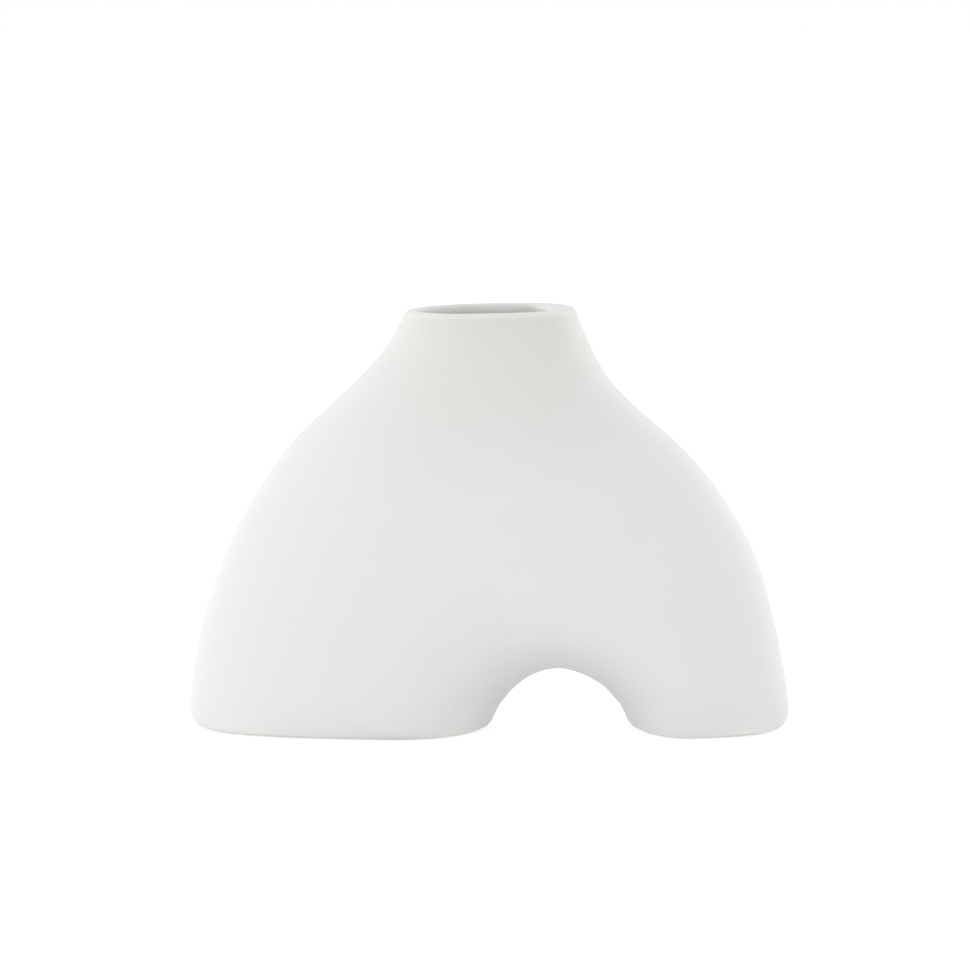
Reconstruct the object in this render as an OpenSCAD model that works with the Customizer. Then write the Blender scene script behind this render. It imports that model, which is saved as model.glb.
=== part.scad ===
// Stoneware vase with one neck and two hollow feet either side of an arch.
// Front view in the XZ plane, front towards -Y, standing on Z = 0.

/* [Body] */
// Width across the two feet
body_w = 300; // [240:1:360]
// Height of the middle of the lip above the table
body_h = 210.4; // [180:0.1:240]
// Depth of the belly from front to back
body_d = 113; // [100:1:130]
/* [Mouth] */
// Width of the lip from its outside to the throat
lip_w = 8; // [7:0.5:11]
// Height of the rounded part of the lip
lip_h = 4; // [2:0.5:5]
// Extra width of the lip at its right end
lip_end = 6.5; // [0:0.5:9]
// Rise of the lip from its left end to its right end
lip_rise = 1.8; // [0:0.1:3]
/* [Walls] */
// Wall thickness, with both coats of glaze
wall_t = 6.4; // [5:0.1:8]
// Thickness of a coat of glaze
glaze_t = 0.4; // [0.3:0.1:0.6]
// Thickness of the clay floor in each foot
floor_t = 5.6; // [4:0.1:7]
/* [Arch] */
// Height of the arch above the table
arch_h = 29.9; // [24:0.1:36]
// Width that the front rolls in over, beside the arch's left side
roll_left = 66; // [52:1:76]
// Width that the front rolls in over, above the arch
roll_top = 54; // [42:1:64]
// Width that the front rolls in over, beside the arch's right side
roll_right = 48; // [38:1:56]
/* [Feet] */
// Height at which the sides start to turn under
turn_z = 12; // [11:0.5:13]
// Width of the bare ring that each foot stands on
ring_w = 6; // [4:0.5:7]
// Depth of the recess inside the ring
recess_t = 1.4; // [0.8:0.1:1.4]
// Height at which the outer glaze stops
glaze_line = 2.4; // [2.2:0.1:4]
/* [Pads] */
// Diameter of a felt pad
pad_d = 18; // [12:1:20]
// Thickness of a felt pad
pad_t = 1.8; // [1.6:0.1:2.6]

/* [Hidden] */
$fn = 48;

// The outlines below are drawn for a body of this size, and stretch with the driving dimensions.
drawn_w = 300;
drawn_h = 210.4;
drawn_d = 113;
drawn_arch_h = 29.9;
drawn_turn_z = 12;
stretch_x = body_w / drawn_w;
stretch_y = body_d / drawn_d;
stretch_z = body_h / drawn_h;
stretch_arch = arch_h / drawn_arch_h;

// Left and right edges of the front view: height, then distance from the middle.
left_edge = [[12, 150], [30, 148.3], [60, 141.9], [90, 131.2], [120, 115.4], [140, 101.4],
             [150, 92.5], [160, 81.7], [180, 61.5], [195, 49.4], [207, 43]];
right_edge = [[12, 150], [30, 147.6], [60, 141.3], [90, 131.7], [120, 114], [140, 97],
              [160, 74.3], [172, 62], [180, 56.3], [195, 48.6], [207, 43.7]];
// Half of the depth in the side view: height, then distance from the middle plane.
side_edge = [[12, 56.4], [35, 56.5], [65, 56.5], [95, 55], [125, 51.8], [150, 48.6],
             [175, 45], [195, 43.2], [207, 42.8]];
// Squareness of a level section: 2 is an ellipse, and more is a fuller corner.
left_fullness = [[12, 2.6], [70, 2.4], [130, 2.15], [185, 2], [207, 2.2]];
right_fullness = [[12, 3.4], [70, 2.6], [130, 2.15], [185, 2.1], [207, 2.6]];
// The arch's edge from its left side, over the top, to its right side: share, then place.
arch_edge = [[0, [5.6, 12]], [0.16, [12.9, 20.4]], [0.34, [22.8, 27.1]], [0.5, [34.6, 29.9]],
             [0.66, [46.4, 27.1]], [0.84, [57.3, 20.7]], [1, [65.4, 12]]];

foot_z = pad_t - recess_t;        // the bare ring's height above the table
floor_z = pad_t + floor_t;        // top of the clay floor in each foot
lip_z = body_h - lip_h;           // where the lip starts to round
neck_z = 150 * stretch_z;         // below this the lip's slope has no part
throat_z = 25;                    // depth below the lip over which the wall reaches its thickness
roll_power = 2;                   // the roll beside the arch joins the front with no crease
foot_roll = 0.79;                 // share of the roll's width that is left where it ends at a foot
lip_crown = 0.62;                 // share of the lip's width, from outside, at which it is highest
lip_inside = 0.5;                 // squareness of the lip's inner edge: 1 is round, and less is squarer
lip_end_from = 0.45;              // share of the way to the right end at which the lip starts to widen
arch_from = 0.36;                 // share of the arch below the neck's left side
arch_to = 0.64;                   // share of the arch below the neck's right side
mouth_x = (edge(right_edge, lip_z) - edge(left_edge, lip_z)) / 2;
mouth_w = edge(right_edge, lip_z) + edge(left_edge, lip_z);

// Rows of points run from the left foot over the arch to the right foot, and each goes round the body.
fine = [16, 12, 18];              // rows up a side, rows over the mouth, steps from edge to arch
coarse = [12, 12, 12];
// How far the sides draw in as they turn under at the foot: share of the drop, then distance.
outer_turn = [[0, 0], [0.35, 0.3], [0.66, 1.6], [0.84, 4.1], [1, 9]];
arch_turn = [[0, 0], [0.35, 2.1], [0.66, 3.8], [0.84, 5.4], [1, 8.8]];
glaze_stop = (turn_z - glaze_line) / (turn_z - foot_z);
glaze_turns = [0.5 * glaze_stop, 0.8 * glaze_stop, glaze_stop];
clay_turns = concat(glaze_turns, [(1 + glaze_stop) / 2, 1]);
fillet_turns = [30, 60, 90];      // the inside fillet above the floor, in degrees
fillet_r = 5;
lip_turns = [30, 60, 90, 120, 150];  // the lip's round from its outside to the throat, in degrees

// Middles of the felt pads, on the drawn body.
left_pad_front = [-62, -28];
left_pad_back = [-62, 28];
left_pad_outer = [-119, 0];
right_pad_front = [109, -22];
right_pad_back = [109, 22];

clay_colour = [0.86, 0.83, 0.78];
matt_colour = [0.93, 0.93, 0.92];
gloss_colour = [0.88, 0.88, 0.86];
felt_colour = [0.82, 0.81, 0.78];

// A smooth curve through the rows of a table, whose values may be numbers or points.
function above(table, v, i = 1) = i == len(table) - 1 || v < table[i][0] ? i : above(table, v, i + 1);
function rise(table, i) =
    let (a = max(i - 1, 0), b = min(i + 1, len(table) - 1))
    (table[b][1] - table[a][1]) / (table[b][0] - table[a][0]);
function curve(table, v) =
    let (i = above(table, v), a = table[i - 1], b = table[i], step = b[0] - a[0], u = (v - a[0]) / step)
    a[1] * (1 + 2 * u) * (1 - u) * (1 - u) + b[1] * u * u * (3 - 2 * u)
    + step * (rise(table, i - 1) * u * (1 - u) * (1 - u) - rise(table, i) * u * u * (1 - u));

function ease(u) = let (v = min(1, max(0, u))) v * v * (3 - 2 * v);
function edge(table, z) = stretch_x * curve(table, z / stretch_z);
function unit(v) = v / norm(v);

// Where a row starts on the outer edge and ends on the arch. Travel is 0 to 1 up the left side,
// 1 to 2 over the mouth and 2 to 3 down the right side.
function side_z(share) = turn_z + (lip_z - turn_z) * share;
function outer_end(travel) =
    travel <= 1 ? [-edge(left_edge, side_z(travel)), side_z(travel)]
    : travel < 2 ? [mouth_x - cos(180 * (travel - 1)) * (mouth_x + edge(left_edge, lip_z)), lip_z]
    : [edge(right_edge, side_z(3 - travel)), side_z(3 - travel)];
function arch_share(travel) =
    travel <= 1 ? arch_from * travel
    : travel < 2 ? arch_from + (arch_to - arch_from) * (travel - 1)
    : 1 - (1 - arch_to) * (3 - travel);
function arch_end(travel) =
    let (p = curve(arch_edge, arch_share(travel)))
    [p.x * stretch_x, turn_z + (p.y - drawn_turn_z) * stretch_arch];
function roll(travel) =
    curve([[0, foot_roll * roll_left], [0.25, roll_left], [0.5, roll_top], [0.75, roll_right],
           [1, foot_roll * roll_right]], arch_share(travel));

// Half of the body's depth at a place in the front view.
function level_share(x, z) =
    let (left = x < mouth_x,
         half = left ? mouth_x + edge(left_edge, z) : edge(right_edge, z) - mouth_x,
         power = curve(left ? left_fullness : right_fullness, z / stretch_z))
    pow(max(0, 1 - pow(min(1, abs(x - mouth_x) / half), power)), 1 / power);
function roll_share(distance, width) =
    pow(1 - pow(1 - min(1, distance / width), roll_power), 1 / roll_power);
function half_depth(x, z) = stretch_y * curve(side_edge, z / stretch_z) * level_share(x, z);

function skin_point(travel, share, side) =
    let (a = arch_end(travel), b = outer_end(travel), p = a + (b - a) * share)
    [p.x, side * half_depth(p.x, p.y) * roll_share(share * norm(b - a), roll(travel)), p.y];

// Rows of the outer skin. A row is a ring whose first and last points meet, but over the mouth
// they part and become the front and the back of the lip.
function travels(count) =
    [for (i = [0 : count[0]]) i / count[0],
     for (i = [1 : count[1] - 1]) 1 + i / count[1],
     for (i = [0 : count[0]]) 2 + i / count[0]];
function skin(count) =
    [for (travel = travels(count))
        [for (j = [0 : 2 * count[2]])
            skin_point(travel, (1 + cos(180 * j / count[2])) / 2, j < count[2] ? -1 : 1)]];
function is_open(row, count) = row > count[0] && row < count[0] + count[1];

// The direction into the wall at each point, level near the lip so that the lip stays level.
function inward(rows, count) =
    let (last = len(rows) - 1, turn = 2 * count[2])
    [for (i = [0 : last])
        [for (j = [0 : turn])
            let (ends = is_open(i, count),
                 before = j > 0 ? j - 1 : ends ? 0 : turn - 1,
                 after = j < turn ? j + 1 : ends ? turn : 1,
                 around = rows[i][after] - rows[i][before],
                 along = rows[min(i + 1, last)][j] - rows[max(i - 1, 0)][j],
                 n = unit(cross(along, around)),
                 level = ease((rows[i][j].z - lip_z + throat_z) / throat_z))
            unit([n.x, n.y, n.z * (1 - level)])]];

// The skin moved into the wall by a thickness. An inner face is moved further in the throat, where
// the wall grows to the width of the lip.
function throat_extra(p) =
    (lip_w - wall_t + lip_end * ease((2 * (p.x - mouth_x) / mouth_w - lip_end_from) / (1 - lip_end_from)))
    * ease((p.z - lip_z + throat_z) / throat_z);
function sunk(rows, directions, thickness, inner = false) =
    [for (i = [0 : len(rows) - 1])
        [for (j = [0 : len(rows[i]) - 1])
            rows[i][j] + directions[i][j] * (thickness + (inner ? throat_extra(rows[i][j]) : 0))]];

// The ring drawn in level by a width that varies round it, and set at a height of its own.
function drawn_in(ring, directions, widths, heights) =
    [for (j = [0 : len(ring) - 1])
        let (d = unit([directions[j].x, directions[j].y]))
        [ring[j].x + d.x * widths[j], ring[j].y + d.y * widths[j], heights[j]]];
function same(value, count) = [for (j = [0 : 2 * count[2]]) value];

// How far point j of the ring draws in at a share of the drop, from the outer side to the arch.
function turn_width(j, count, share) =
    let (a = curve(outer_turn, share), b = curve(arch_turn, share), c = (1 - cos(180 * j / count[2])) / 2)
    a + (b - a) * c * c * c;
function turn_widths(count, share, more = 0) =
    [for (j = [0 : 2 * count[2]]) turn_width(j, count, share) + more];
function turned(ring, directions, count, shares) =
    [for (q = shares)
        drawn_in(ring, directions, turn_widths(count, q), same(turn_z + (foot_z - turn_z) * q, count))];
function recessed(ring, directions, count) =
    [drawn_in(ring, directions, turn_widths(count, 1, ring_w), same(foot_z, count)),
     drawn_in(ring, directions, turn_widths(count, 1, ring_w + recess_t), same(pad_t, count))];
function filleted(ring, directions, count, floor_height) =
    [for (angle = fillet_turns)
        drawn_in(ring, directions, same(fillet_r * (1 - cos(angle)), count),
                 [for (p = ring) floor_height + (p.z - floor_height) * (1 - sin(angle))])];

// Points of the mouth's loop, front from left to right and then back from right to left.
function mouth_loop(rows, count) =
    let (a = count[0], b = count[0] + count[1], turn = 2 * count[2])
    [for (i = [a : b]) rows[i][0], for (i = [b - 1 : -1 : a + 1]) rows[i][turn]];

// One loop of the lip's round, at an angle that goes from its outside to the throat. Its highest line
// keeps one distance from the outside, also where the lip widens.
function lip_share(angle, crown) = crown - cos(angle) * (angle < 90 ? crown : 1 - crown);
function lip_rounding(angle) = angle < 90 ? sin(angle) : pow(sin(angle), lip_inside);
function lip_loop(outer, inner, height, angle) =
    let (widths = [for (k = [0 : len(outer) - 1]) norm(inner[k] - outer[k])], least = min(widths))
    [for (k = [0 : len(outer) - 1])
        outer[k] + (inner[k] - outer[k]) * lip_share(angle, lip_crown * least / widths[k])
        + [0, 0, height * lip_rounding(angle)]];

// The lip's slope from left to right, which fades out down the neck.
function sloped(p) =
    [p.x, p.y, p.z + lip_rise / mouth_w * (p.x - mouth_x) * ease((p.z - neck_z) / (lip_z - neck_z))];
function reversed(list) = [for (i = [len(list) - 1 : -1 : 0]) list[i]];

// Faces between neighbouring rows. First is the index of the first row's first point.
function at(first, row, j, count) =
    let (turn = 2 * count[2])
    first + row * (turn + 1) + (j == turn && !is_open(row, count) ? 0 : j);
function row_faces(first, count, flip) =
    [for (i = [0 : 2 * count[0] + count[1] - 1])
        for (j = [0 : 2 * count[2] - 1])
            let (a = at(first, i, j, count), b = at(first, i, j + 1, count),
                 c = at(first, i + 1, j + 1, count), d = at(first, i + 1, j, count))
            for (f = flip ? [[a, b, c], [a, c, d]] : [[a, c, b], [a, d, c]])
                if (f[0] != f[1] && f[1] != f[2] && f[2] != f[0]) f];
function band(from, to, size, flip) =
    [for (j = [0 : size - 1])
        let (a = from[j], b = from[(j + 1) % size], c = to[(j + 1) % size], d = to[j])
        for (f = flip ? [[a, b, c], [a, c, d]] : [[a, c, b], [a, d, c]]) f];
function bands(loops, size, flip) =
    [for (k = [0 : len(loops) - 2]) for (f = band(loops[k], loops[k + 1], size, flip)) f];
function run(first, size) = [for (j = [0 : size - 1]) first + j];
function mouth_run(first, count) =
    let (a = count[0], b = count[0] + count[1], turn = 2 * count[2])
    [for (i = [a : b]) at(first, i, 0, count), for (i = [b - 1 : -1 : a + 1]) at(first, i, turn, count)];
function flat(lists) = [for (l = lists) for (v = l) v];
function ringed(rings) = [for (r = rings) [for (j = [0 : len(r) - 2]) r[j]]];

// Work shared by the three fired pieces.
fine_skin = skin(fine);
fine_in = inward(fine_skin, fine);
coarse_skin = skin(coarse);
coarse_in = inward(coarse_skin, coarse);
last_fine = len(fine_skin) - 1;
last_coarse = len(coarse_skin) - 1;
mouth_size = 2 * fine[1];

// One face of a wall: its rows, the rings that carry on down from its first row at the left foot and
// from its last row at the right foot, and its count.
function layer(rows, left_rings, right_rings, count) =
    [rows, ringed(left_rings), ringed(right_rings), count];

// A closed wall between an outer and an inner layer, joined over the lip by loops of points. With
// closed feet each layer ends in a flat face. Otherwise the last rings of the two layers are joined.
module wall(outer, inner, lip_loops, closed) {
    outer_count = outer[3];
    inner_count = inner[3];
    rings = [outer[1], outer[2], inner[1], inner[2]];
    sizes = [for (part = rings) len(part[0])];

    // Where each group of points starts in the list of points.
    first_inner = len(flat(outer[0]));
    first_ring = first_inner + len(flat(inner[0]));
    ring_starts = [for (k = 0, s = first_ring; k < 4; s = s + len(rings[k]) * sizes[k], k = k + 1) s];
    first_lip = ring_starts[3] + len(rings[3]) * sizes[3];
    points = concat(flat(outer[0]), flat(inner[0]), flat([for (part = rings) flat(part)]), flat(lip_loops));

    // The loops down each foot of each layer, starting at the row that they hang from.
    tops = [at(0, 0, 0, outer_count), at(0, len(outer[0]) - 1, 0, outer_count),
            at(first_inner, 0, 0, inner_count), at(first_inner, len(inner[0]) - 1, 0, inner_count)];
    loops = [for (k = [0 : 3])
        [run(tops[k], sizes[k]),
         for (r = [0 : len(rings[k]) - 1]) run(ring_starts[k] + r * sizes[k], sizes[k])]];
    ends = [for (part = loops) part[len(part) - 1]];

    over_lip = [mouth_run(0, outer_count),
                for (k = [0 : 1 : len(lip_loops) - 1]) run(first_lip + k * mouth_size, mouth_size),
                mouth_run(first_inner, inner_count)];
    caps = closed ? [ends[0], reversed(ends[1]), reversed(ends[2]), ends[3]]
        : concat(band(ends[0], ends[2], sizes[0], true), band(ends[1], ends[3], sizes[0], false));
    faces = concat(row_faces(0, outer_count, false), row_faces(first_inner, inner_count, true),
                   bands(loops[0], sizes[0], true), bands(loops[1], sizes[1], false),
                   bands(loops[2], sizes[2], false), bands(loops[3], sizes[3], true),
                   bands(over_lip, mouth_size, false), caps);
    polyhedron([for (p = points) sloped(p)], faces, convexity = 10);
}

// The inner face of the clay or of the liner, which ends in a filleted floor in each foot.
function inner_layer(depth, floor_height) =
    let (rows = sunk(coarse_skin, coarse_in, depth, true))
    layer(rows, filleted(rows[0], coarse_in[0], coarse, floor_height),
          filleted(rows[last_coarse], coarse_in[last_coarse], coarse, floor_height), coarse);

// A face of the outer coat of glaze, which ends where the glaze stops above each foot.
function glaze_layer(rows) =
    layer(rows, turned(rows[0], fine_in[0], fine, glaze_turns),
          turned(rows[last_fine], fine_in[last_fine], fine, glaze_turns), fine);

function foot_rings(ring, directions) =
    concat(turned(ring, directions, fine, clay_turns), recessed(ring, directions, fine));

function lip_between(outer_rows, outer_count, inner_rows, inner_count, height) =
    let (a = mouth_loop(outer_rows, outer_count), b = mouth_loop(inner_rows, inner_count))
    [for (angle = lip_turns) lip_loop(a, b, height, angle)];

// The fired clay: one hollow shell from the lip down into both feet.
module clay_body() {
    rows = sunk(fine_skin, fine_in, glaze_t);
    outer = layer(rows, foot_rings(rows[0], fine_in[0]),
                  foot_rings(rows[last_fine], fine_in[last_fine]), fine);
    inner = inner_layer(wall_t - glaze_t, floor_z);
    lips = lip_between(rows, fine, inner[0], coarse, lip_h - glaze_t);
    color(clay_colour) wall(outer, inner, lips, true);
}

// The matt coat outside, from the glaze line over the lip and down into the throat's edge.
module outer_glaze() {
    under_rows = sunk(fine_skin, fine_in, glaze_t);
    throat_out = sunk(coarse_skin, coarse_in, wall_t, true);
    throat_in = sunk(coarse_skin, coarse_in, wall_t - glaze_t, true);
    over = lip_between(fine_skin, fine, throat_out, coarse, lip_h);
    under = lip_between(under_rows, fine, throat_in, coarse, lip_h - glaze_t);
    lips = concat(over, [mouth_loop(throat_out, coarse), mouth_loop(throat_in, coarse)], reversed(under));
    color(matt_colour) wall(glaze_layer(fine_skin), glaze_layer(under_rows), lips, false);
}

// The glossy coat inside, which makes the clay watertight.
module inner_glaze() {
    outer = inner_layer(wall_t - glaze_t, floor_z);
    inner = inner_layer(wall_t, floor_z + glaze_t);
    color(gloss_colour) wall(outer, inner, [], true);
}

// A felt pad in a foot's recess, proud of the bare ring, so that the vase stands on felt.
module foot_pad(place) {
    color(felt_colour)
        translate([place.x * stretch_x, place.y * stretch_y, 0])
            cylinder(d = pad_d, h = pad_t);
}

clay_body();
outer_glaze();
inner_glaze();
foot_pad(left_pad_front);  // left_foot_pad_front
foot_pad(left_pad_back);  // left_foot_pad_back
foot_pad(left_pad_outer);  // left_foot_pad_outer
foot_pad(right_pad_front);  // right_foot_pad_front
foot_pad(right_pad_back);  // right_foot_pad_back
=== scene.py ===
import math

import bpy
import numpy as np
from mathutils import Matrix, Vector, noise


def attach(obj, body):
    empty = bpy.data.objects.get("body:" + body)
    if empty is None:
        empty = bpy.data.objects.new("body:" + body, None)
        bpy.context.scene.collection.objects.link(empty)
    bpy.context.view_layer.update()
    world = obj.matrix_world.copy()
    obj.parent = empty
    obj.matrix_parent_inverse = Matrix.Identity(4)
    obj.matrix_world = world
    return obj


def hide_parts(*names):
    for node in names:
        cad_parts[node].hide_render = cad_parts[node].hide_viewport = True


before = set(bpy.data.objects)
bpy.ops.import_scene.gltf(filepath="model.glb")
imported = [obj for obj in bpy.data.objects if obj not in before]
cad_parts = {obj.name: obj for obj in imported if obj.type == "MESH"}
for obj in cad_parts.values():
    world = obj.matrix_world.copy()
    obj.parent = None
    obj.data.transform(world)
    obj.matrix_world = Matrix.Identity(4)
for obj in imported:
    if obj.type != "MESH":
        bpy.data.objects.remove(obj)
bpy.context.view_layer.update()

MM = 0.001

# Driving sizes, in millimetres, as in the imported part.
BODY_W = 300
BODY_H = 210.4
BODY_D = 113
LIP_W = 8
LIP_H = 4
LIP_END = 6.5  # extra width of the lip at its right end
LIP_RISE = 1.8  # rise of the lip from its left end to its right end
WALL_T = 6.4  # with both coats of glaze
GLAZE_T = 0.4
FLOOR_T = 5.6
ARCH_H = 29.9
ROLL_LEFT = 66  # width that the front rolls in over, beside the arch's left side
ROLL_TOP = 54
ROLL_RIGHT = 48
TURN_Z = 12  # height at which the sides start to turn under
RING_W = 6
RECESS_T = 1.4
GLAZE_LINE = 2.4  # height at which the outer glaze stops
PAD_D = 18
PAD_T = 1.8

# The outlines below are drawn for a body of this size, and stretch with the driving sizes.
DRAWN = {"w": 300, "h": 210.4, "d": 113, "arch": 29.9, "turn": 12, "neck": 150}
STRETCH_X = BODY_W / DRAWN["w"]
STRETCH_Y = BODY_D / DRAWN["d"]
STRETCH_Z = BODY_H / DRAWN["h"]
STRETCH_ARCH = ARCH_H / DRAWN["arch"]

# Left and right edges of the front view: height, then distance from the middle.
LEFT_EDGE = [[12, 150], [30, 148.3], [60, 141.9], [90, 131.2], [120, 115.4], [140, 101.4],
             [150, 92.5], [160, 81.7], [180, 61.5], [195, 49.4], [207, 43]]
RIGHT_EDGE = [[12, 150], [30, 147.6], [60, 141.3], [90, 131.7], [120, 114], [140, 97],
              [160, 74.3], [172, 62], [180, 56.3], [195, 48.6], [207, 43.7]]
# Half of the depth in the side view: height, then distance from the middle plane.
SIDE_EDGE = [[12, 56.4], [35, 56.5], [65, 56.5], [95, 55], [125, 51.8], [150, 48.6],
             [175, 45], [195, 43.2], [207, 42.8]]
# Squareness of a level section, by height: 2 is an ellipse, and more is a fuller corner.
LEFT_FULLNESS = [[12, 2.6], [70, 2.4], [130, 2.15], [185, 2], [207, 2.2]]
RIGHT_FULLNESS = [[12, 3.4], [70, 2.6], [130, 2.15], [185, 2.1], [207, 2.6]]
# The arch's edge from its left side, over the top, to its right side: share, then place.
ARCH_EDGE = [[0, [5.6, 12]], [0.16, [12.9, 20.4]], [0.34, [22.8, 27.1]], [0.5, [34.6, 29.9]],
             [0.66, [46.4, 27.1]], [0.84, [57.3, 20.7]], [1, [65.4, 12]]]
ARCH_FROM = 0.36  # share of the arch below the neck's left side
ARCH_TO = 0.64  # share of the arch below the neck's right side
FOOT_ROLL = 0.79  # share of the roll's width that is left where it ends at a foot
# Width of the roll beside the arch, by share of the arch's edge.
ROLL_EDGE = [[0, FOOT_ROLL * ROLL_LEFT], [0.25, ROLL_LEFT], [0.5, ROLL_TOP], [0.75, ROLL_RIGHT],
             [1, FOOT_ROLL * ROLL_RIGHT]]
ROLL_POWER = 2  # the roll joins the front with no crease
# How far the sides draw in as they turn under at the foot: share of the drop, then distance.
OUTER_TURN = [[0, 0], [0.35, 0.3], [0.66, 1.6], [0.84, 4.1], [1, 9]]
ARCH_TURN = [[0, 0], [0.35, 2.1], [0.66, 3.8], [0.84, 5.4], [1, 8.8]]
TURN_POWER = 3  # how near the arch the outer turn gives way to the arch's
LIP_CROWN = 0.62  # share of the lip's width, from outside, at which it is highest
LIP_INSIDE = 0.5  # squareness of the lip's inner edge: 1 is round, and less is squarer
LIP_END_FROM = 0.45  # share of the way to the right end at which the lip starts to widen
THROAT_Z = 25  # depth below the lip over which the wall reaches its thickness
FILLET_R = 5  # radius of the inside fillet above each floor

FOOT_Z = PAD_T - RECESS_T  # the bare ring's height above the table
FLOOR_Z = PAD_T + FLOOR_T  # top of the clay floor in each foot
LIP_Z = BODY_H - LIP_H  # where the lip starts to round
NECK_Z = DRAWN["neck"] * STRETCH_Z  # below this the lip's slope has no part

# A foot's underside from its bare ring into the recess: distance from the ring's outside, then height.
FOOT_PROFILE = [(RING_W * 0.5, FOOT_Z), (RING_W * 0.9, FOOT_Z), (RING_W + 0.2, FOOT_Z + 0.15),
                (RING_W + 0.6, FOOT_Z + 0.6), (RING_W + 1, PAD_T - 0.1), (RING_W + 1.6, PAD_T)]

# Rows up a side, rows over the mouth and steps from edge to arch.
SKIN_COUNT = (96, 72, 72)
LINER_COUNT = (56, 72, 44)
CLAY_COUNT = (72, 72, 60)
# Rings down each turned-under foot, and round the fillet above each floor.
GLAZE_RINGS = 12
CLAY_RINGS = 21
FILLET_RINGS = 8
LID_SHARES = (0.75, 0.5, 0.25, 0.08)
# The row of a grid that ends at each foot, and whether it is the grid's last.
FEET = ((0, False), (-1, True))
# Angles of the loops over the lip, in steps and then closer where it drops into the throat.
LIP_STEP = 7.5
LIP_STEPS = 20
THROAT_ANGLES = [156, 162, 167, 171, 174.5, 177.5, 179.3]
LIP_ANGLES = np.radians([LIP_STEP * k for k in range(1, LIP_STEPS + 1)] + THROAT_ANGLES)
SHARP_ANGLE = math.radians(50)

# Middles of the felt pads, on the drawn body.
PADS = {"left_foot_pad_front": (-62, -28), "left_foot_pad_back": (-62, 28),
        "left_foot_pad_outer": (-119, 0), "right_foot_pad_front": (109, -22),
        "right_foot_pad_back": (109, 22)}
# A pad's section, from near the middle of its top to near the middle of its underside: share of the
# radius, then height.
PAD_PROFILE = [(0.25, PAD_T), (0.5, PAD_T), (0.75, PAD_T), (0.9, PAD_T), (0.965, PAD_T - 0.12),
               (0.99, PAD_T - 0.4), (1, PAD_T * 0.62), (0.995, PAD_T * 0.4), (0.985, 0.36),
               (0.955, 0.1), (0.9, 0), (0.75, 0), (0.5, 0), (0.25, 0)]
PAD_STEPS = 72
FRAY_DEPTH = 0.12
FRAY_SCALE = 8  # radius of the circle on which the noise of the cut edge is read
FRAY_SHIFT = 0.9  # moves the cut edge inside the pad's circle
FRAY_FROM = 0.95  # share of the radius from which the edge is uneven


def curve(table, places):
    """Values of a table at the given places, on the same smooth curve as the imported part's."""
    at = np.array([row[0] for row in table], float)
    value = np.array([row[1] for row in table], float).reshape(len(table), -1)
    before = np.maximum(np.arange(len(at)) - 1, 0)
    after = np.minimum(np.arange(len(at)) + 1, len(at) - 1)
    slope = (value[after] - value[before]) / (at[after] - at[before])[:, None]
    place = np.asarray(places, float)
    end = np.clip(np.searchsorted(at, place, side="right"), 1, len(at) - 1)
    start = end - 1
    step = (at[end] - at[start])[..., None]
    share = (place - at[start])[..., None] / step
    rest = 1 - share
    result = (value[start] * (1 + 2 * share) * rest ** 2 + value[end] * share * share * (3 - 2 * share)
              + step * (slope[start] * share * rest ** 2 - slope[end] * share * share * rest))
    return result[..., 0] if result.shape[-1] == 1 else result


def ease(share):
    """0 up to a share of 0, 1 from a share of 1, and a smooth rise between."""
    inside = np.clip(share, 0, 1)
    return inside * inside * (3 - 2 * inside)


def edge(table, z):
    return STRETCH_X * curve(table, z / STRETCH_Z)


LIP_LEFT = float(edge(LEFT_EDGE, LIP_Z))
LIP_RIGHT = float(edge(RIGHT_EDGE, LIP_Z))
MOUTH_X = (LIP_RIGHT - LIP_LEFT) / 2
MOUTH_W = LIP_RIGHT + LIP_LEFT
ARCH_X = STRETCH_X * (ARCH_EDGE[0][1][0] + ARCH_EDGE[-1][1][0]) / 2
ARCH_HALF = STRETCH_X * (ARCH_EDGE[-1][1][0] - ARCH_EDGE[0][1][0]) / 2


def travels(count):
    """Where each row lies: 0 to 1 up the left side, 1 to 2 over the mouth, 2 to 3 down the right side."""
    side, mouth, _ = count
    return np.concatenate([np.arange(side + 1) / side, 1 + np.arange(1, mouth) / mouth,
                           2 + np.arange(side + 1) / side])


def outer_end(travel):
    """Where a row starts in the front view, on the outer edge."""
    share = np.where(travel <= 1, travel, 3 - travel)
    z = np.where((travel > 1) & (travel < 2), LIP_Z, TURN_Z + (LIP_Z - TURN_Z) * share)
    over = MOUTH_X - np.cos(math.pi * (travel - 1)) * (MOUTH_X + LIP_LEFT)
    x = np.where(travel <= 1, -edge(LEFT_EDGE, z), np.where(travel < 2, over, edge(RIGHT_EDGE, z)))
    return np.stack([x, z], axis=-1)


def arch_share(travel):
    """How far along the arch's edge a row ends."""
    return np.where(travel <= 1, ARCH_FROM * travel,
                    np.where(travel < 2, ARCH_FROM + (ARCH_TO - ARCH_FROM) * (travel - 1),
                             1 - (1 - ARCH_TO) * (3 - travel)))


def arch_end(travel):
    """Where a row ends in the front view, on the arch's edge."""
    place = curve(ARCH_EDGE, arch_share(travel))
    z = TURN_Z + (place[..., 1] - DRAWN["turn"]) * STRETCH_ARCH
    return np.stack([place[..., 0] * STRETCH_X, z], axis=-1)


def half_depth(x, z):
    """Half of the body's depth at places in the front view."""
    left = x < MOUTH_X
    half = np.where(left, MOUTH_X + edge(LEFT_EDGE, z), edge(RIGHT_EDGE, z) - MOUTH_X)
    power = np.where(left, curve(LEFT_FULLNESS, z / STRETCH_Z), curve(RIGHT_FULLNESS, z / STRETCH_Z))
    level = np.maximum(0, 1 - np.minimum(1, np.abs(x - MOUTH_X) / half) ** power) ** (1 / power)
    return STRETCH_Y * curve(SIDE_EDGE, z / STRETCH_Z) * level


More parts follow.
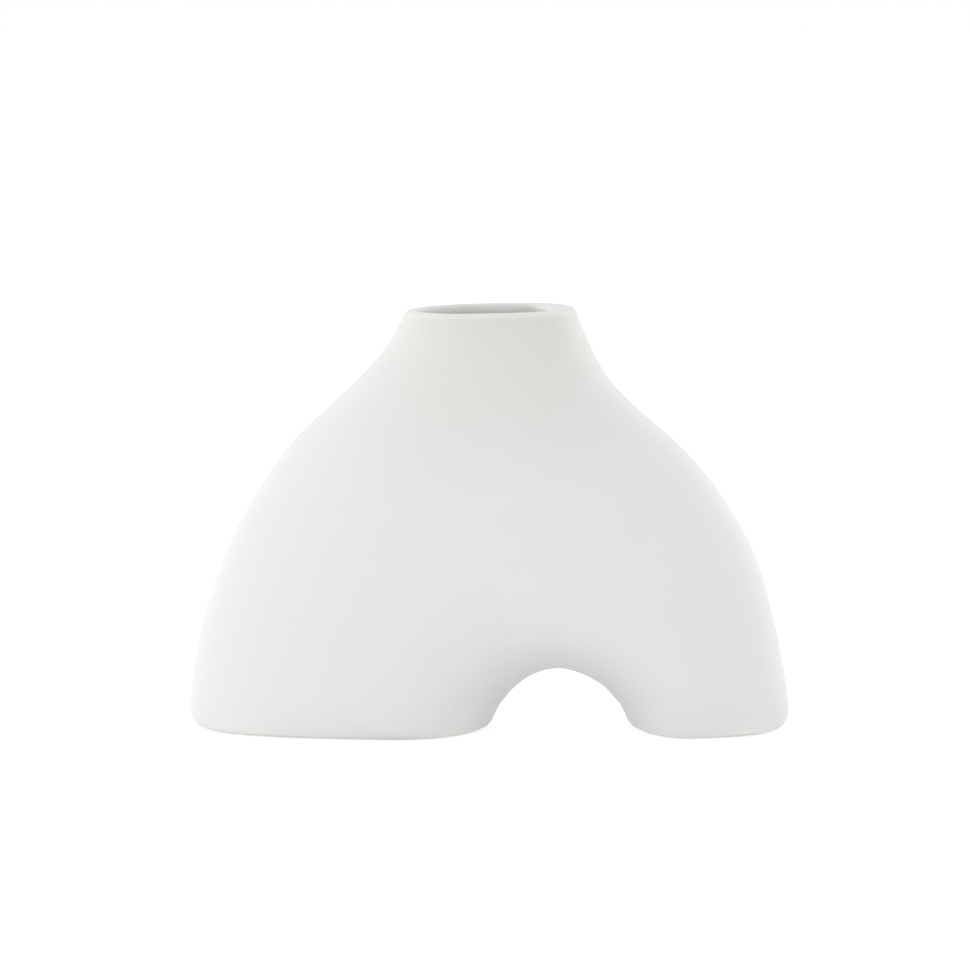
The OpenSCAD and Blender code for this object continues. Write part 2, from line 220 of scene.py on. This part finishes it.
def skin(count):
    """Rows of points of the vase's outside, each going round the body from front to back."""
    travel = travels(count)
    steps = count[2]
    step = np.arange(2 * steps + 1)
    share = (1 + np.cos(math.pi * step / steps)) / 2
    share[steps] = 0
    side = np.where(step < steps, -1, 1)
    arch = arch_end(travel)[:, None, :]
    outer = outer_end(travel)[:, None, :]
    place = arch + (outer - arch) * share[None, :, None]
    distance = share[None, :] * np.linalg.norm(outer - arch, axis=-1)
    width = curve(ROLL_EDGE, arch_share(travel))[:, None]
    roll = (1 - (1 - np.minimum(1, distance / width)) ** ROLL_POWER) ** (1 / ROLL_POWER)
    y = side[None, :] * half_depth(place[..., 0], place[..., 1]) * roll
    return np.stack([place[..., 0], y, place[..., 1]], axis=-1)


def is_open(count):
    """Which rows are open: over the mouth a row's two ends are the front and the back of the lip."""
    row = np.arange(2 * count[0] + count[1] + 1)
    return (row > count[0]) & (row < count[0] + count[1])


def inward(rows, count):
    """The direction into the wall at each point, level near the lip."""
    around = np.empty_like(rows)
    around[:, 1:-1] = rows[:, 2:] - rows[:, :-2]
    opened = is_open(count)
    around[opened, 0] = rows[opened, 1] - rows[opened, 0]
    around[opened, -1] = rows[opened, -1] - rows[opened, -2]
    closed = ~opened
    around[closed, 0] = rows[closed, 1] - rows[closed, -2]
    around[closed, -1] = around[closed, 0]
    along = np.empty_like(rows)
    along[1:-1] = rows[2:] - rows[:-2]
    along[0] = rows[1] - rows[0]
    along[-1] = rows[-1] - rows[-2]
    normal = np.cross(along, around)
    normal /= np.linalg.norm(normal, axis=-1, keepdims=True)
    level = ease((rows[..., 2] - LIP_Z + THROAT_Z) / THROAT_Z)
    normal[..., 2] *= 1 - level
    return normal / np.linalg.norm(normal, axis=-1, keepdims=True)


def sunk(rows, directions, thickness):
    """The outside moved into the wall by a thickness."""
    return rows + directions * thickness


def sunk_inside(rows, directions, thickness):
    """An inner face: it is further in at the throat, where the wall grows to the width of the lip."""
    to_end = 2 * (rows[..., 0] - MOUTH_X) / MOUTH_W
    width = LIP_W - WALL_T + LIP_END * ease((to_end - LIP_END_FROM) / (1 - LIP_END_FROM))
    more = width * ease((rows[..., 2] - LIP_Z + THROAT_Z) / THROAT_Z)
    return rows + directions * (thickness + more)[..., None]


def drawn_in(ring, directions, widths, height):
    """A foot's ring moved level into the wall by the widths, at another height."""
    level = directions[:, :2] / np.linalg.norm(directions[:, :2], axis=-1, keepdims=True)
    moved = ring.copy()
    moved[:, :2] += level * widths[:, None]
    moved[:, 2] = height
    return moved


def turn_widths(size, share, more=0.0):
    """How far each point of a foot's ring draws in at a share of the drop, and so much more."""
    to_arch = (1 - np.cos(math.pi * np.arange(size) / (size // 2))) / 2
    outer = curve(OUTER_TURN, share)
    arch = curve(ARCH_TURN, share)
    return outer + (arch - outer) * to_arch ** TURN_POWER + more


def turned(ring, directions, shares):
    """Rings of a foot as it turns under, at shares of the drop."""
    return [drawn_in(ring, directions, turn_widths(len(ring), share), TURN_Z + (FOOT_Z - TURN_Z) * share)
            for share in shares]


def filleted(ring, directions, floor_height):
    """Rings of an inner face as it rounds into the floor of a foot."""
    rings = []
    for angle in np.radians(np.linspace(0, 90, FILLET_RINGS + 1)[1:]):
        height = floor_height + (ring[:, 2] - floor_height) * (1 - math.sin(angle))
        widths = np.full(len(ring), FILLET_R * (1 - math.cos(angle)))
        rings.append(drawn_in(ring, directions, widths, height))
    return rings


def mouth_loop(rows, count):
    """The loop round the mouth, of points or of point numbers: the front's, then the back's."""
    first = count[0]
    last = count[0] + count[1]
    return np.concatenate([rows[first:last + 1, 0], rows[last - 1:first:-1, -1]])


def lip_loops(outer, inner, height):
    """Loops over the lip's round, from its outside to the throat. Its highest line keeps one distance
    from the outside, also where the lip widens."""
    width = np.linalg.norm(inner - outer, axis=-1, keepdims=True)
    crown = LIP_CROWN * width.min() / width
    loops = []
    for angle in LIP_ANGLES:
        part, power = (crown, 1) if angle < math.pi / 2 else (1 - crown, LIP_INSIDE)
        loop = outer + (inner - outer) * (crown - math.cos(angle) * part)
        loop[:, 2] += height * math.sin(angle) ** power
        loops.append(loop)
    return loops


def sloped(points):
    """The lip's slope, which fades out down the neck."""
    moved = np.array(points, float)
    part = ease((moved[:, 2] - NECK_Z) / (LIP_Z - NECK_Z))
    moved[:, 2] += LIP_RISE / MOUTH_W * (moved[:, 0] - MOUTH_X) * part
    return moved


class Shell:
    """Collects points and the faces between them, then makes one mesh object."""

    def __init__(self):
        self.points = []
        self.faces = []
        self.size = 0

    def add(self, points):
        """Adds points and returns the first one's number."""
        start = self.size
        self.points.append(np.asarray(points, float).reshape(-1, 3))
        self.size += len(self.points[-1])
        return start

    def grid(self, rows, count, flip):
        """Adds rows of points with the faces between them, and returns their numbers. The first and
        the last point of a closed row share a number."""
        start = self.add(rows)
        index = start + np.arange(rows.shape[0] * rows.shape[1]).reshape(rows.shape[:2])
        index[~is_open(count), -1] = index[~is_open(count), 0]
        self.quads(index[:-1, :-1], index[1:, :-1], index[1:, 1:], index[:-1, 1:], flip)
        return index

    def ring(self, points):
        start = self.add(points)
        return np.arange(start, start + len(points))

    def foot_rings(self, first, more):
        """Adds a foot's rings, whose last point repeats the first, and lists them after the first ring."""
        return [first] + [self.ring(points[:-1]) for points in more]

    def quads(self, a, b, c, d, flip):
        corners = (a, b, c, d) if flip else (a, d, c, b)
        self.faces += np.stack([np.ravel(corner) for corner in corners], axis=-1).tolist()

    def bands(self, loops, flip):
        for one, two in zip(loops, loops[1:]):
            self.quads(one, two, np.roll(two, -1), np.roll(one, -1), flip)

    def fan(self, loop, centre, flip):
        middle = self.add([centre])
        for one, two in zip(loop, np.roll(loop, -1)):
            self.faces.append([two, one, middle] if flip else [one, two, middle])

    def close_foot(self, first, more, flip):
        """Carries a grid's end on over a foot's rings, then closes it with smaller rings and a fan."""
        rings = self.foot_rings(first, more)
        self.bands(rings, flip)
        points = np.concatenate(self.points)[rings[-1]]
        centre = points.mean(axis=0)
        lid = [rings[-1]] + [self.ring(centre + (points - centre) * share) for share in LID_SHARES]
        self.bands(lid, flip)
        self.fan(lid[-1], centre, flip)

    def make(self, name):
        mesh = bpy.data.meshes.new(name)
        mesh.from_pydata((sloped(np.concatenate(self.points)) * MM).tolist(), [], self.faces)
        mesh.validate()
        mesh.update()
        mesh.shade_smooth()
        mesh.set_sharp_from_angle(angle=SHARP_ANGLE)
        piece = bpy.data.objects.new(name, mesh)
        bpy.context.scene.collection.objects.link(piece)
        return piece


def make_glaze():
    """The matt coat: outside and inside faces, over the lip, with a soft edge above the foot."""
    count = SKIN_COUNT
    rows = skin(count)
    into = inward(rows, count)
    inside = sunk(rows, into, GLAZE_T)
    throat_out = mouth_loop(sunk_inside(rows, into, WALL_T), count)
    throat_in = mouth_loop(sunk_inside(rows, into, WALL_T - GLAZE_T), count)
    stop = (TURN_Z - GLAZE_LINE) / (TURN_Z - FOOT_Z)
    shares = np.linspace(0, stop, GLAZE_RINGS + 1)[1:]
    shell = Shell()
    out_index = shell.grid(rows, count, False)
    in_index = shell.grid(inside, count, True)
    for row, is_last in FEET:
        outer = shell.foot_rings(out_index[row, :-1], turned(rows[row], into[row], shares))
        inner = shell.foot_rings(in_index[row, :-1], turned(inside[row], into[row], shares))
        shell.bands(outer, not is_last)
        shell.bands(inner, is_last)
        points = np.concatenate(shell.points)
        middle = shell.ring((points[outer[-1]] + points[inner[-1]]) / 2 - [0, 0, GLAZE_T / 2])
        shell.bands([outer[-1], middle, inner[-1]], not is_last)
    over = lip_loops(mouth_loop(rows, count), throat_out, LIP_H)
    under = lip_loops(mouth_loop(inside, count), throat_in, LIP_H - GLAZE_T)
    loops = [mouth_loop(out_index, count)] + [shell.ring(loop) for loop in over]
    loops += [shell.ring(throat_out), shell.ring(throat_in)]
    loops += [shell.ring(loop) for loop in reversed(under)] + [mouth_loop(in_index, count)]
    shell.bands(loops, False)
    return shell.make("matt_glaze_coat")


def make_liner():
    """The glossy coat inside, from the throat down over the floors of both feet."""
    count = LINER_COUNT
    rows = skin(count)
    into = inward(rows, count)
    shell = Shell()
    mouths = []
    for depth, floor_height, flip in ((WALL_T - GLAZE_T, FLOOR_Z, False),
                                      (WALL_T, FLOOR_Z + GLAZE_T, True)):
        layer = sunk_inside(rows, into, depth)
        index = shell.grid(layer, count, flip)
        for row, is_last in FEET:
            rings = filleted(layer[row], into[row], floor_height)
            shell.close_foot(index[row, :-1], rings, flip == is_last)
        mouths.append(mouth_loop(index, count))
    shell.bands(mouths, False)
    return shell.make("glossy_liner")


def make_clay():
    """The fired clay under the glaze, with the bare ring and recess of each foot."""
    count = CLAY_COUNT
    rows = skin(count)
    into = inward(rows, count)
    outside = sunk(rows, into, GLAZE_T)
    inside = sunk_inside(rows, into, WALL_T - GLAZE_T)
    shares = np.linspace(0, 1, CLAY_RINGS + 1)[1:]
    shell = Shell()
    out_index = shell.grid(outside, count, False)
    in_index = shell.grid(inside, count, True)
    for row, is_last in FEET:
        rings = turned(outside[row], into[row], shares)
        for width, height in FOOT_PROFILE:
            widths = turn_widths(len(outside[row]), 1, width)
            rings.append(drawn_in(outside[row], into[row], widths, height))
        shell.close_foot(out_index[row, :-1], rings, not is_last)
        shell.close_foot(in_index[row, :-1], filleted(inside[row], into[row], FLOOR_Z), is_last)
    over = lip_loops(mouth_loop(outside, count), mouth_loop(inside, count), LIP_H - GLAZE_T)
    loops = [mouth_loop(out_index, count)] + [shell.ring(loop) for loop in over]
    shell.bands(loops + [mouth_loop(in_index, count)], False)
    return shell.make("clay_shell")


def make_pad(name, place):
    """A felt disc with a soft, uneven cut edge."""
    angles = 2 * math.pi * np.arange(PAD_STEPS) / PAD_STEPS
    circle = np.stack([np.cos(angles), np.sin(angles)], axis=-1)
    centre = np.array([place[0] * STRETCH_X, place[1] * STRETCH_Y, 0])
    shell = Shell()
    rings = []
    for share, z in PAD_PROFILE:
        wobble = [noise.noise(Vector((FRAY_SCALE * x, FRAY_SCALE * y, place[0] + z))) for x, y in circle]
        fray = FRAY_DEPTH * (np.array(wobble) - FRAY_SHIFT) * (share > FRAY_FROM)
        level = (PAD_D / 2 * share + fray)[:, None] * circle
        rings.append(shell.ring(centre + np.column_stack([level, np.full(PAD_STEPS, z)])))
    shell.bands(rings, True)
    shell.fan(rings[0], centre + [0, 0, PAD_T], False)
    shell.fan(rings[-1], centre, True)
    return shell.make("felt_" + name)


def node_material(name):
    material = bpy.data.materials.new(name)
    material.use_nodes = True
    tree = material.node_tree
    tree.nodes.clear()
    out = tree.nodes.new("ShaderNodeOutputMaterial")
    shader = tree.nodes.new("ShaderNodeBsdfPrincipled")
    tree.links.new(shader.outputs["BSDF"], out.inputs["Surface"])
    return material, tree, shader


def fill(tree, socket, value):
    """Links a socket to another, or sets it to a plain value."""
    if isinstance(value, bpy.types.NodeSocket):
        tree.links.new(value, socket)
    else:
        socket.default_value = value


def noise_node(tree, scale, detail, roughness=0.55, stretch=None):
    """Noise in the part's frame: scale is in waves per metre."""
    place = tree.nodes.new("ShaderNodeTexCoord")
    node = tree.nodes.new("ShaderNodeTexNoise")
    node.inputs["Scale"].default_value = scale
    node.inputs["Detail"].default_value = detail
    node.inputs["Roughness"].default_value = roughness
    source = place.outputs["Object"]
    if stretch:
        mapping = tree.nodes.new("ShaderNodeMapping")
        mapping.inputs["Scale"].default_value = stretch
        tree.links.new(source, mapping.inputs["Vector"])
        source = mapping.outputs["Vector"]
    tree.links.new(source, node.inputs["Vector"])
    return node.outputs["Fac"]


def spread(tree, value, low, high, to_low=0.0, to_high=1.0):
    """A value's way from low to high, spread from to_low to to_high and level outside them."""
    node = tree.nodes.new("ShaderNodeMapRange")
    node.inputs["From Min"].default_value = low
    node.inputs["From Max"].default_value = high
    node.inputs["To Min"].default_value = to_low
    node.inputs["To Max"].default_value = to_high
    tree.links.new(value, node.inputs["Value"])
    return node.outputs["Result"]


def spread_mm(tree, value, low, high, to_high=1.0):
    """A length in metres, spread from 0 to to_high between two lengths in millimetres."""
    return spread(tree, value, low * MM, high * MM, 0, to_high)


def math_node(tree, operation, *values):
    node = tree.nodes.new("ShaderNodeMath")
    node.operation = operation
    for value, socket in zip(values, node.inputs):
        fill(tree, socket, value)
    return node.outputs[0]


def mixed(tree, factor, one, two):
    """A mix of two colours, each a tuple or a socket."""
    node = tree.nodes.new("ShaderNodeMix")
    node.data_type = "RGBA"
    tree.links.new(factor, node.inputs["Factor"])
    for value, socket in ((one, node.inputs["A"]), (two, node.inputs["B"])):
        fill(tree, socket, (*value, 1) if isinstance(value, tuple) else value)
    return node.outputs["Result"]


# Where most of a noise's values lie.
NOISE_LOW = 0.3
NOISE_HIGH = 0.7


def vary_roughness(tree, shader, scale, detail, low, high):
    """A roughness that varies from place to place between two values."""
    rough = spread(tree, noise_node(tree, scale, detail), NOISE_LOW, NOISE_HIGH, low, high)
    tree.links.new(rough, shader.inputs["Roughness"])


def bumped(tree, shader, heights):
    """Adds bumps in turn: each has a height source and a depth in millimetres."""
    last = None
    for source, depth in heights:
        bump = tree.nodes.new("ShaderNodeBump")
        bump.inputs["Strength"].default_value = 1
        bump.inputs["Distance"].default_value = depth * MM
        tree.links.new(source, bump.inputs["Height"])
        if last:
            tree.links.new(last, bump.inputs["Normal"])
        last = bump.outputs["Normal"]
    tree.links.new(last, shader.inputs["Normal"])


def height_node(tree):
    """Height above the table in metres, measured along the slope of the lip."""
    place = tree.nodes.new("ShaderNodeTexCoord")
    level = tree.nodes.new("ShaderNodeVectorMath")
    level.operation = "DOT_PRODUCT"
    level.inputs[1].default_value = (-LIP_RISE / MOUTH_W, 0, 1)
    tree.links.new(place.outputs["Object"], level.inputs[0])
    return level.outputs["Value"]


def oval_node(tree, middle, half):
    """Distance from an oval's middle, as a share of the way to its edge. A direction in which half is
    0 doesn't count."""
    place = tree.nodes.new("ShaderNodeTexCoord")
    scale = [1 / (size * MM) if size else 0 for size in half]
    shares = tree.nodes.new("ShaderNodeMapping")
    shares.inputs["Location"].default_value = [-at * MM * k for at, k in zip(middle, scale)]
    shares.inputs["Scale"].default_value = scale
    length = tree.nodes.new("ShaderNodeVectorMath")
    length.operation = "LENGTH"
    tree.links.new(place.outputs["Object"], shares.inputs["Vector"])
    tree.links.new(shares.outputs["Vector"], length.inputs[0])
    return length.outputs["Value"]


# Tints of the matt glaze: two that cloud into each other; a warm, darker one on the neck's front and back,
# partly where it ran thin and partly painted shade, of which the feet get a little; one where it is thick
# on the lip; painted shade at the arch's rim; painted shade on the throat's edge; and painted light inside
# the throat.
MATT_WHITE = (0.83, 0.831, 0.831)
MATT_CLOUD = (0.823, 0.82, 0.814)
MATT_THIN_AND_SHADE = (0.755, 0.755, 0.718)
MATT_THICK = (0.838, 0.838, 0.812)
MATT_ARCH_SHADE = (0.762, 0.768, 0.772)
MATT_LIP_EDGE_SHADE = (0.80, 0.80, 0.78)
MATT_THROAT_LIGHT = (0.93, 0.93, 0.91)

# Where a tint starts and where it is full, in millimetres: heights above the table, a distance to
# the side of the neck's middle, and heights above the line where the lip starts to round.
# The next four place the neck's warm tint, partly painted shade, and the feet's darker, warmer tint.
NECK_SHADES = (120, 203)
FOOT_DARKENS = (25, 3)
FOOT_DARKENING = 0.3  # how much of the warm, darker tint the feet get
NECK_SIDE_SHADES = (75, 30)
LIP_THICKENS = (1.3, 2.3)
# The painted shade on the lip's inner edge gives way to painted light over the first; the second is where
# the painted light starts below the lip.
THROAT_SHADE_TO_LIGHT = (3.6, 1.6)
THROAT_BEGINS = (-10, -5)
# The same as shares of the way to the arch's edge, for the painted shade round the arch, and to the line
# where the lip is highest.
ARCH_SHADES = (2.2, 1)
MOUTH_BEGINS = (0.99, 0.94)


def neck_shade_share(tree, height):
    """1 on the front and the back of the neck, and 0 on its sides and further down: where the neck gets its
    painted shade.
    """
    side = NECK_SIDE_SHADES[0]
    to_side = oval_node(tree, (MOUTH_X, 0, 0), (side, 0, 0))
    on_front = spread(tree, to_side, 1, NECK_SIDE_SHADES[1] / side)
    return math_node(tree, "MULTIPLY", on_front, spread_mm(tree, height, *NECK_SHADES))


def throat_shade_and_light_share(tree, above_lip):
    """1 inside the lip's highest line and down the throat, and 0 elsewhere: where the lip's inner edge gets
    painted shade and the throat painted light.
    """
    crown = MOUTH_W / 2 - LIP_CROWN * LIP_W
    from_axis = oval_node(tree, (MOUTH_X, 0, 0), (crown, crown, 0))
    at_mouth = spread_mm(tree, above_lip, *THROAT_BEGINS)
    return math_node(tree, "MULTIPLY", at_mouth, spread(tree, from_axis, *MOUTH_BEGINS))


def matt_glaze_material():
    """White: warmer and darker on the front and back of the neck, partly where the glaze ran thin and
    partly painted shade; darker and warmer towards the feet; painted shade round the arch's edge; thicker
    on the lip; painted shade on the lip's inner edge and painted light inside the throat.
    """
    material, tree, shader = node_material("matt_white_glaze")
    height = height_node(tree)
    above_lip = math_node(tree, "SUBTRACT", height, LIP_Z * MM)
    cloud = spread(tree, noise_node(tree, scale=14, detail=3), low=0.35, high=0.75)
    tint = mixed(tree, cloud, MATT_WHITE, MATT_CLOUD)
    arch = oval_node(tree, (ARCH_X, 0, TURN_Z), (ARCH_HALF, 0, ARCH_H - TURN_Z))
    # Painted shade round the arch, full at its edge.
    tint = mixed(tree, spread(tree, arch, *ARCH_SHADES), tint, MATT_ARCH_SHADE)
    # A warm, darker tint on the neck's front and back: partly glaze that ran thin, partly painted shade.
    tint = mixed(tree, neck_shade_share(tree, height), tint, MATT_THIN_AND_SHADE)
    # Darker and warmer towards the feet.
    tint = mixed(tree, spread_mm(tree, height, *FOOT_DARKENS, FOOT_DARKENING), tint, MATT_THIN_AND_SHADE)
    tint = mixed(tree, spread_mm(tree, above_lip, *LIP_THICKENS), tint, MATT_THICK)
    # Painted shade on the lip's inner edge, and painted light inside the throat.
    inside = mixed(tree, spread_mm(tree, above_lip, *THROAT_SHADE_TO_LIGHT), MATT_LIP_EDGE_SHADE, MATT_THROAT_LIGHT)
    tint = mixed(tree, throat_shade_and_light_share(tree, above_lip), tint, inside)
    tree.links.new(tint, shader.inputs["Base Color"])
    vary_roughness(tree, shader, scale=400, detail=4, low=0.52, high=0.64)
    swell = noise_node(tree, scale=120, detail=2)
    grain = noise_node(tree, scale=1500, detail=3)
    bumped(tree, shader, [(swell, 0.12), (grain, 0.03)])
    return material


LINER_WHITE = (0.88, 0.875, 0.855)
LINER_CLOUD = (0.86, 0.85, 0.825)


def liner_material():
    """A glossy off-white that clouds a little, with a faint swell as poured glaze has."""
    material, tree, shader = node_material("glossy_white_liner")
    cloud = spread(tree, noise_node(tree, scale=25, detail=3), low=0.35, high=0.7)
    tree.links.new(mixed(tree, cloud, LINER_WHITE, LINER_CLOUD), shader.inputs["Base Color"])
    vary_roughness(tree, shader, scale=300, detail=4, low=0.12, high=0.22)
    swell = noise_node(tree, scale=160, detail=2)
    grain = noise_node(tree, scale=900, detail=2)
    bumped(tree, shader, [(swell, 0.2), (grain, 0.02)])
    return material


CLAY_PALE = (0.86, 0.85, 0.825)
CLAY_DARK = (0.82, 0.805, 0.775)
CLAY_SPECK = (0.55, 0.49, 0.42)


def clay_material():
    """Bare fired stoneware: rough, cloudy, with a few dark specks."""
    material, tree, shader = node_material("bare_stoneware")
    cloud = spread(tree, noise_node(tree, scale=60, detail=4), low=0.35, high=0.7)
    tint = mixed(tree, cloud, CLAY_PALE, CLAY_DARK)
    speck = spread(tree, noise_node(tree, scale=1400, detail=2), low=0.66, high=0.72)
    tree.links.new(mixed(tree, speck, tint, CLAY_SPECK), shader.inputs["Base Color"])
    vary_roughness(tree, shader, scale=700, detail=3, low=0.82, high=0.95)
    tooth = noise_node(tree, scale=350, detail=3)
    grit = noise_node(tree, scale=2200, detail=3)
    bumped(tree, shader, [(tooth, 0.15), (grit, 0.08)])
    return material


FELT_PALE = (0.78, 0.765, 0.72)
FELT_DARK = (0.60, 0.585, 0.54)
FELT_ROUGHNESS = 0.95
FELT_SHEEN = 0.3


def felt_material():
    """Pressed felt, with fibres that run both ways."""
    material, tree, shader = node_material("pressed_felt")
    fibre = noise_node(tree, scale=900, detail=5, roughness=0.7, stretch=(1, 3, 1))
    cross = noise_node(tree, scale=900, detail=5, roughness=0.7, stretch=(3, 1, 1))
    tint = mixed(tree, spread(tree, fibre, NOISE_LOW, NOISE_HIGH), FELT_PALE, FELT_DARK)
    tree.links.new(tint, shader.inputs["Base Color"])
    shader.inputs["Roughness"].default_value = FELT_ROUGHNESS
    shader.inputs["Sheen Weight"].default_value = FELT_SHEEN
    bumped(tree, shader, [(fibre, 0.4), (cross, 0.4)])
    return material


def dress(piece, material, node):
    """Gives a piece its material, and sets it in the place of a node."""
    piece.data.materials.append(material)
    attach(piece, "root")
    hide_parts(node)


dress(make_glaze(), matt_glaze_material(), "outer_glaze")
dress(make_liner(), liner_material(), "inner_glaze")
dress(make_clay(), clay_material(), "clay_body")
felt = felt_material()
for pad_name, pad_place in PADS.items():
    dress(make_pad(pad_name, pad_place), felt, pad_name)

# The photograph's view, in metres: a long lens a little above the middle of the vase.
VIEW_FROM = Vector((-0.0021, -2.4, 0.375))
VIEW_TO = Vector((-0.0021, 0, 0.1216))
VIEW_REACH = 100
LENS_PX = 4828  # the lens's length in pixels of the photograph
FRAME_LONG = 971  # the photograph's longer side in pixels
SENSOR_MM = 36

# Square soft lamps beside and behind the vase: place in metres, then watts.
LAMPS = [("left_side", (-1.6, 0, 0.5), 2.7), ("left_front", (-1.3, -1, 0.4), 2),
         ("left_back", (-1.2, 1.2, 0.6), 2.4), ("right_back", (1.2, 1.2, 0.6), 3.3),
         ("right_side", (1.5, 0.6, 0.5), 1.5)]
LAMP_SIZE = 1
LAMP_AIM = Vector((0, 0, 0.1))

WHITE = (1, 1, 1, 1)
# The sky's strength as the camera sees it, and as it lights the vase.
SEEN_SKY = 1
SKY_LIGHT = 0.85
FLOOR_REACH = 30
FLOOR_TINT = (0.8, 0.8, 0.8, 1)
FLOOR_ROUGHNESS = 0.9
# What the floor sheds around the vase, what it sheds under the feet, and what the camera sees of it.
FLOOR_GLOW = 0.188
FOOT_GLOW = 0.29
SEEN_GLOW = 0.52
# Where the glow under the feet starts and where it is full, in millimetres outwards from their ends
# and sides, and from the arch's foot on each side.
GLOW_END = (2, -6)
GLOW_SIDE = (4, 0)
GLOW_ARCH = (5, 16)


def make_camera():
    data = bpy.data.cameras.new("photo_view")
    camera = bpy.data.objects.new("photo_view", data)
    data.sensor_width = SENSOR_MM
    data.lens = SENSOR_MM * LENS_PX / FRAME_LONG
    data.clip_end = VIEW_REACH
    camera.location = VIEW_FROM
    camera.rotation_euler = (VIEW_TO - VIEW_FROM).to_track_quat("-Z", "Y").to_euler()
    bpy.context.scene.collection.objects.link(camera)
    bpy.context.scene.camera = camera


def seen_or_lit(tree, seen_level, lit_level):
    """One level where the camera or a glossy or clear surface looks, and another for the light shed."""
    path = tree.nodes.new("ShaderNodeLightPath")
    seen = path.outputs["Is Camera Ray"]
    for name in ("Is Glossy Ray", "Is Transmission Ray"):
        seen = math_node(tree, "MAXIMUM", seen, path.outputs[name])
    mix = tree.nodes.new("ShaderNodeMix")
    fill(tree, mix.inputs["A"], lit_level)
    fill(tree, mix.inputs["B"], seen_level)
    tree.links.new(seen, mix.inputs["Factor"])
    return mix.outputs["Result"]


def make_world():
    """A sky that looks white and lights the vase evenly."""
    world = bpy.data.worlds.new("white_studio")
    bpy.context.scene.world = world
    world.use_nodes = True
    tree = world.node_tree
    background = tree.nodes["Background"]
    background.inputs["Color"].default_value = WHITE
    tree.links.new(seen_or_lit(tree, SEEN_SKY, SKY_LIGHT), background.inputs["Strength"])


def make_lamp(name, place, watts):
    data = bpy.data.lights.new(name, "AREA")
    data.size = LAMP_SIZE
    data.energy = watts
    lamp = bpy.data.objects.new(name, data)
    lamp.location = place
    lamp.rotation_euler = (LAMP_AIM - lamp.location).to_track_quat("-Z", "Y").to_euler()
    bpy.context.scene.collection.objects.link(lamp)


def under_feet(tree):
    """1 on the floor under the feet, and 0 around them and under the arch."""
    place = tree.nodes.new("ShaderNodeTexCoord")
    parts = tree.nodes.new("ShaderNodeSeparateXYZ")
    tree.links.new(place.outputs["Object"], parts.inputs["Vector"])
    half_x = BODY_W / 2 - OUTER_TURN[-1][1]
    half_y = BODY_D / 2 - OUTER_TURN[-1][1]
    result = 1
    for axis, middle, half, glow in (("X", 0, half_x, GLOW_END), ("Y", 0, half_y, GLOW_SIDE),
                                     ("X", ARCH_X, ARCH_HALF, GLOW_ARCH)):
        offset = math_node(tree, "SUBTRACT", parts.outputs[axis], middle * MM)
        distance = math_node(tree, "ABSOLUTE", offset)
        share = spread_mm(tree, distance, half + glow[0], half + glow[1])
        result = math_node(tree, "MULTIPLY", result, share)
    return result


def make_floor():
    """A white floor that keeps the vase's shadow. The camera sees it brighter than it lights the vase."""
    mesh = bpy.data.meshes.new("floor")
    corners = [(-1, -1), (1, -1), (1, 1), (-1, 1)]
    mesh.from_pydata([(x * FLOOR_REACH, y * FLOOR_REACH, 0) for x, y in corners], [], [(0, 1, 2, 3)])
    floor = bpy.data.objects.new("floor", mesh)
    bpy.context.scene.collection.objects.link(floor)
    material, tree, shader = node_material("white_floor")
    shader.inputs["Base Color"].default_value = FLOOR_TINT
    shader.inputs["Roughness"].default_value = FLOOR_ROUGHNESS
    shader.inputs["Emission Color"].default_value = WHITE
    lit = spread(tree, under_feet(tree), 0, 1, FLOOR_GLOW, FOOT_GLOW)
    tree.links.new(seen_or_lit(tree, SEEN_GLOW, lit), shader.inputs["Emission Strength"])
    mesh.materials.append(material)


make_camera()
make_world()
for lamp_name, lamp_place, lamp_watts in LAMPS:
    make_lamp(lamp_name, lamp_place, lamp_watts)
make_floor()
bpy.context.scene.view_settings.view_transform = "Standard"
